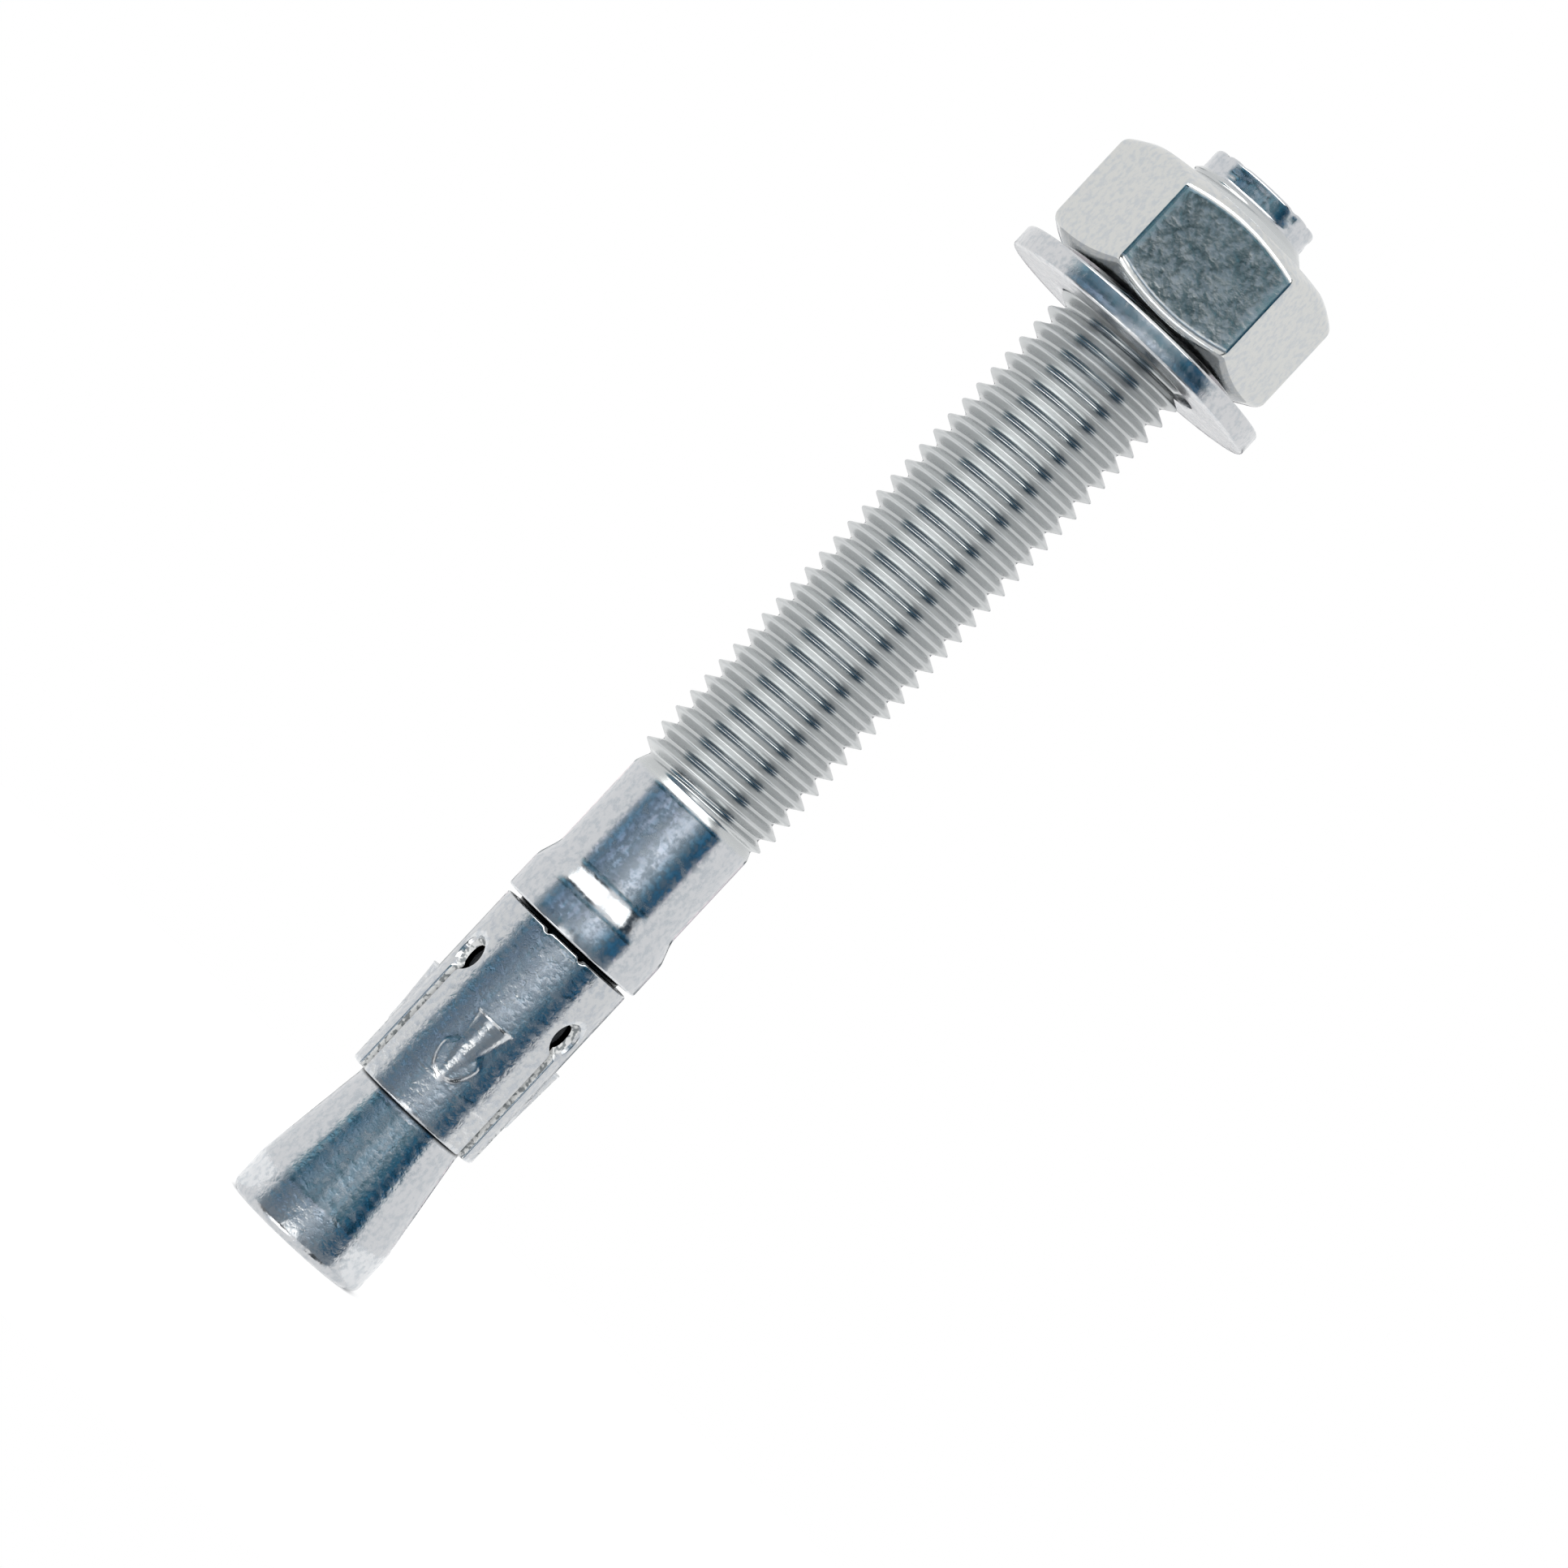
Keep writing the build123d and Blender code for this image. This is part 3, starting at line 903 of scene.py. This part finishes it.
# -------- floor, studio, camera

# Cloth screens that only the metal sees, far off on a ball round the object: a wide blue-grey
# one in front and a narrow dark one straight behind. Azimuth runs from -180 to 180 degrees,
# 0 towards -Y and positive towards +X.
WHITE = (1.0, 1.0, 1.0)
SCREEN = [
    (-180, (0.2, 0.21, 0.23)), (-168, (0.45, 0.46, 0.47)), (-158, WHITE), (-79, WHITE),
    (-72, (0.31, 0.39, 0.45)), (-62, (0.08, 0.19, 0.28)),
    (-50, (0.18, 0.28, 0.39)), (-34, (0.28, 0.37, 0.46)), (-20, (0.28, 0.37, 0.46)),
    (-6, (0.30, 0.39, 0.47)), (14, (0.29, 0.38, 0.46)), (26, (0.19, 0.31, 0.39)),
    (36, (0.07, 0.19, 0.28)), (46, (0.022, 0.10, 0.18)), (63, (0.018, 0.08, 0.15)),
    (70, WHITE), (152, WHITE), (163, (0.3, 0.31, 0.33)), (172, (0.15, 0.16, 0.18)),
]
# by elevation: how pale the cloth hangs, how deep its folds are, how red its dye is, and how
# much light a slit in the middle lets through
HANG = [(-90, 0.8, 1.0, 0.95, 0), (-4.4, 0.8, 1.0, 0.95, 0), (-2.4, 0.76, 1.0, 0.95, 0.1),
        (-1.5, 0.78, 0.7, 1.05, 0.3), (-0.95, 2.5, 0.15, 1.2, 0.42), (0.3, 2.5, 0.15, 1.2, 0.42),
        (1.0, 0.12, 0.6, 0.6, 0.95), (3.8, 0.1, 0.8, 0.6, 0.95), (4.4, 0.9, 1.0, 0.95, 0.7),
        (5.2, 0.3, 1.0, 0.65, 0.02), (6.2, 0.45, 1.0, 0.7, 0), (11.5, 1.1, 1.0, 0.95, 0)]
SLIT_AZIMUTH = 10
SLIT_WIDTH = 16
SLIT_LEFT = 0.37  # the share of its light that is left a width from its middle
SLIT_LIGHT = (1.0, 0.98, 0.98)
TEAL_SHIFT = (0.72, 1.15, 1.2)
LOW_GREY = (0.25, 0.29, 0.33)
SHEET_WHITE = (2.0, 2.0, 1.97)
LIT_PANEL = (2.8, 2.8, 2.8)
SCREEN_R = 12.0
SCREEN_STEP = 6
SCREEN_ROWS = 16
FLOOR_R = 0.25
FLOOR_SIDES = 96


def emptied(owner):
    """The node tree of a material or of the world, with nothing in it."""
    owner.use_nodes = True
    owner.node_tree.nodes.clear()
    return owner.node_tree


def share(azimuth):
    """An azimuth in degrees as a share of a turn: 0.5 towards -Y, more towards +X."""
    return azimuth / 360 + 0.5


def up(elevation):
    """How high a direction points: the sine of its elevation in degrees."""
    return sin(radians(elevation))


def heading(tree, toward):
    """Azimuth of a direction, as a share of a turn."""
    front = add(tree, "ShaderNodeMath", {0: toward.outputs["Y"], 1: -1.0}, operation="MULTIPLY")
    turn = add(tree, "ShaderNodeMath", {0: toward.outputs["X"], 1: front}, operation="ARCTAN2")
    return add(tree, "ShaderNodeMath", {0: turn, 1: 1 / (2 * pi), 2: 0.5},
               operation="MULTIPLY_ADD")


def either(tree, *rays):
    """1 for any of these kinds of ray."""
    path = add(tree, "ShaderNodeLightPath")
    found = path.outputs[rays[0]]
    for ray in rays[1:]:
        found = add(tree, "ShaderNodeMath", {0: found, 1: path.outputs[ray]}, operation="MAXIMUM")
    return found


# Paper floor, which glows a little for the rays that see it
turns = [2 * pi * i / FLOOR_SIDES for i in range(FLOOR_SIDES)]
floor = mesh_object("floor", [(FLOOR_R * cos(a), FLOOR_R * sin(a), 0) for a in turns],
                    [tuple(range(FLOOR_SIDES))])
paper = bpy.data.materials.new("white_paper_floor")
tree = emptied(paper)
direction = add(tree, "ShaderNodeTexCoord").outputs["Object"]
turn = heading(tree, add(tree, "ShaderNodeSeparateXYZ", {0: direction}))
dull = add(tree, "ShaderNodeBsdfDiffuse", {"Color": linear("E6E6E6")})
glow = add(tree, "ShaderNodeEmission", {"Color": (1, 1, 1, 1), "Strength": 0.25})
lit = add(tree, "ShaderNodeAddShader", {0: dull, 1: glow})
seen = add(tree, "ShaderNodeMixShader",
           {0: either(tree, "Is Camera Ray", "Is Glossy Ray", "Is Transmission Ray"), 1: dull,
            2: lit})
# in front, the metal looks past the floor's edge at the cloth screen
in_front = band(tree, turn, (share(-82), share(-78)), (share(66), share(70)))
in_front = add(tree, "ShaderNodeMath", {0: in_front, 1: either(tree, "Is Glossy Ray")},
               operation="MULTIPLY")
clear = add(tree, "ShaderNodeBsdfTransparent")
seen = add(tree, "ShaderNodeMixShader", {0: in_front, 1: seen, 2: clear})
add(tree, "ShaderNodeOutputMaterial", {"Surface": seen})
floor.data.materials.append(paper)

# White room: the background is as white to the metal as to the camera
world = bpy.data.worlds.new("white_room")
bpy.context.scene.world = world
tree = emptied(world)
background = add(tree, "ShaderNodeBackground", {"Color": (1, 1, 1, 1), "Strength": 1.0})
add(tree, "ShaderNodeOutputWorld", {"Surface": background})

# The screens: two pieces of the ball
ball = []
faces = []
for first, last, lowest, highest in ((-84, 84, -50, 50), (150, 210, -3, 4)):
    for azimuth in range(first, last + 1, SCREEN_STEP):
        for row in range(SCREEN_ROWS + 1):
            a, e = radians(azimuth), radians(lowest + (highest - lowest) * row / SCREEN_ROWS)
            if azimuth < last and row < SCREEN_ROWS:
                spot = len(ball)
                faces.append((spot, spot + 1, spot + SCREEN_ROWS + 2, spot + SCREEN_ROWS + 1))
            ball.append((SCREEN_R * sin(a) * cos(e), -SCREEN_R * cos(a) * cos(e),
                         SCREEN_R * sin(e)))
screens = mesh_object("cloth_screens", ball, faces)
cloth = bpy.data.materials.new("screen_cloth")
cloth.cycles.emission_sampling = "NONE"
tree = emptied(cloth)
direction = add(tree, "ShaderNodeTexCoord").outputs["Object"]
direction = add(tree, "ShaderNodeVectorMath", {0: direction}, operation="NORMALIZE")
toward = add(tree, "ShaderNodeSeparateXYZ", {0: direction})
turn = heading(tree, toward)
sine = toward.outputs["Z"]
rise = add(tree, "ShaderNodeMath", {0: sine, 1: 0.5, 2: 0.5}, operation="MULTIPLY_ADD")
screen = add(tree, "ShaderNodeValToRGB", {0: turn})
hang = add(tree, "ShaderNodeValToRGB", {0: rise})
# the second ramp holds half of each value
for ramp, stops in (
    (screen, [(share(azimuth), (*colour, 1)) for azimuth, colour in SCREEN]),
    (hang, [(up(elevation) / 2 + 0.5, (*(value / 2 for value in values), slit))
            for elevation, *values, slit in HANG]),
):
    elements = ramp.color_ramp.elements
    while len(elements) < len(stops):
        elements.new(0.5)
    for element, (position, colour) in zip(elements, stops):
        element.position = position
        element.color = colour
slit = hang.outputs["Alpha"]
hang = add(tree, "ShaderNodeVectorMath", {0: hang, "Scale": 2.0}, operation="SCALE")
hang = add(tree, "ShaderNodeSeparateXYZ", {0: hang})
redness = add(tree, "ShaderNodeSeparateColor", {0: screen}).outputs["Red"]
patches = add(tree, "ShaderNodeTexNoise", {"Vector": direction, "Scale": 13.0, "Detail": 1.0})
tall = add(tree, "ShaderNodeMath", {0: sine}, operation="ABSOLUTE")
whiteness, dye, low, ground, raised, beyond = (
    add(tree, "ShaderNodeMapRange", {"Value": value, "From Min": start, "From Max": end},
        interpolation_type="SMOOTHSTEP")
    for value, start, end in (
        (redness, 0.32, 0.9), (patches, 0.52, 0.64), (sine, up(-5.2), up(-6.2)),
        (sine, up(-7), up(-8.5)), (tall, up(27), up(32)), (tall, up(16), up(21)),
    )
)
folds = add(tree, "ShaderNodeTexNoise",
            {"Vector": direction, "Scale": 12.0, "Detail": 2.0, "Roughness": 0.6})
folds = add(tree, "ShaderNodeMapRange",
            {"Value": folds, "From Min": 0.36, "From Max": 0.64, "To Min": -0.8, "To Max": 0.8})
folds = add(tree, "ShaderNodeMath", {0: folds, 1: hang.outputs["Y"], 2: 1.0},
            operation="MULTIPLY_ADD")
level = add(tree, "ShaderNodeMath", {0: folds, 1: hang.outputs["X"]}, operation="MULTIPLY")
red = add(tree, "ShaderNodeMath", {0: level, 1: hang.outputs["Z"]}, operation="MULTIPLY")
level = add(tree, "ShaderNodeCombineXYZ", {"X": red, "Y": level, "Z": level})
level = add(tree, "ShaderNodeMix", {"Factor": whiteness, "A": level, "B": WHITE},
            data_type="VECTOR")
shaded = add(tree, "ShaderNodeVectorMath", {0: screen, 1: level}, operation="MULTIPLY")
# patches of the cloth are more of a teal
plain = add(tree, "ShaderNodeMath", {0: 1.0, 1: whiteness}, operation="SUBTRACT")
for part in (plain, hang.outputs["Y"]):
    dye = add(tree, "ShaderNodeMath", {0: dye, 1: part}, operation="MULTIPLY")
dyed = add(tree, "ShaderNodeVectorMath", {0: shaded, 1: TEAL_SHIFT}, operation="MULTIPLY")
shaded = add(tree, "ShaderNodeMix", {"Factor": dye, "A": shaded, "B": dyed}, data_type="VECTOR")
# low down the cloth is a plain grey
low = add(tree, "ShaderNodeMath", {0: low, 1: plain}, operation="MULTIPLY")
shaded = add(tree, "ShaderNodeMix", {"Factor": low, "A": shaded, "B": LOW_GREY},
             data_type="VECTOR")
aside = add(tree, "ShaderNodeMath", {0: turn, 1: share(SLIT_AZIMUTH)}, operation="SUBTRACT")
aside = add(tree, "ShaderNodeMath", {0: aside, 1: 360 / SLIT_WIDTH}, operation="MULTIPLY")
aside = add(tree, "ShaderNodeMath", {0: aside, 1: 2.0}, operation="POWER")
aside = add(tree, "ShaderNodeMath", {0: SLIT_LEFT, 1: aside}, operation="POWER")
slit = add(tree, "ShaderNodeMath", {0: aside, 1: slit}, operation="MULTIPLY")
slit = add(tree, "ShaderNodeVectorMath", {0: SLIT_LIGHT, "Scale": slit}, operation="SCALE")
shaded = add(tree, "ShaderNodeVectorMath", {0: shaded, 1: slit}, operation="ADD")
# and a white sheet lies on the ground below it
sheet = band(tree, turn, (share(-26), share(-20)), (share(0), share(5)))
sheet = add(tree, "ShaderNodeMath", {0: sheet, 1: ground}, operation="MULTIPLY")
shaded = add(tree, "ShaderNodeMix", {"Factor": sheet, "A": shaded, "B": SHEET_WHITE},
             data_type="VECTOR")
# well above and below eye level all is white, but for a dark strip on the left and a dark panel
# on the right; further up and down, a lit panel covers the strip and brightens the thread's
# flanks
strip, dark = (
    add(tree, "ShaderNodeVectorMath", {0: shaded, "Scale": left}, operation="SCALE")
    for left in (0.1, 0.3)
)
high_up = WHITE
for start, end, soft, part, panel in (
    (-69, -10, 9, 1.0, strip), (-54, -8, 8, raised, LIT_PANEL), (36, 60, 2, 1.0, dark),
):
    beside = band(tree, turn, (share(start - soft), share(start + soft)),
                  (share(end - soft), share(end + soft)))
    beside = add(tree, "ShaderNodeMath", {0: beside, 1: part}, operation="MULTIPLY")
    high_up = add(tree, "ShaderNodeMix", {"Factor": beside, "A": high_up, "B": panel},
                  data_type="VECTOR")
shaded = add(tree, "ShaderNodeMix", {"Factor": beyond, "A": shaded, "B": high_up},
             data_type="VECTOR")
glow = add(tree, "ShaderNodeEmission", {"Color": shaded, "Strength": 1.0})
clear = add(tree, "ShaderNodeBsdfTransparent")
seen = add(tree, "ShaderNodeMixShader", {0: either(tree, "Is Glossy Ray"), 1: clear, 2: glow})
add(tree, "ShaderNodeOutputMaterial", {"Surface": seen})
screens.data.materials.append(cloth)

# Soft box, high in front and a little to the left
lamp_data = bpy.data.lights.new("soft_box", "AREA")
lamp_data.shape = "RECTANGLE"
lamp_data.size = 1.6
lamp_data.size_y = 0.25
lamp_data.energy = 4.4
lamp_data.color = (1.0, 0.995, 0.96)
lamp = placed("soft_box", lamp_data)
lamp_from = Vector((-0.14, -0.53, 0.65))
lamp_to = Vector((0, 0, 0.085))
lamp.location = lamp_from
lamp.rotation_euler = (lamp_to - lamp_from).to_track_quat("-Z", "Y").to_euler()

# Camera: square to the bolt, turned so that the bolt leans 43 degrees to the right
EYE_DISTANCE = 0.85
EYE_HEIGHT = 0.0723
TILT = radians(43.0)
AIM_RIGHT = 5.9 * MM
AIM_HEIGHT = 79.4 * MM
aim = Vector((AXIS_X + AIM_RIGHT, 0, AIM_HEIGHT))
eye = Vector((AXIS_X + AIM_RIGHT, -EYE_DISTANCE, EYE_HEIGHT))
back = (eye - aim).normalized()
level = Vector((0, 0, 1)).cross(back).normalized()
upright = back.cross(level)
right = level * cos(TILT) + upright * sin(TILT)
above = back.cross(right)
camera_data = bpy.data.cameras.new("camera")
camera_data.lens = 164.0
camera_data.clip_start = 0.01
camera = placed("camera", camera_data)
facing = Matrix((right, above, back)).transposed().to_4x4()
camera.matrix_world = Matrix.Translation(eye) @ facing
bpy.context.scene.camera = camera
bpy.context.scene.view_settings.view_transform = "Standard"
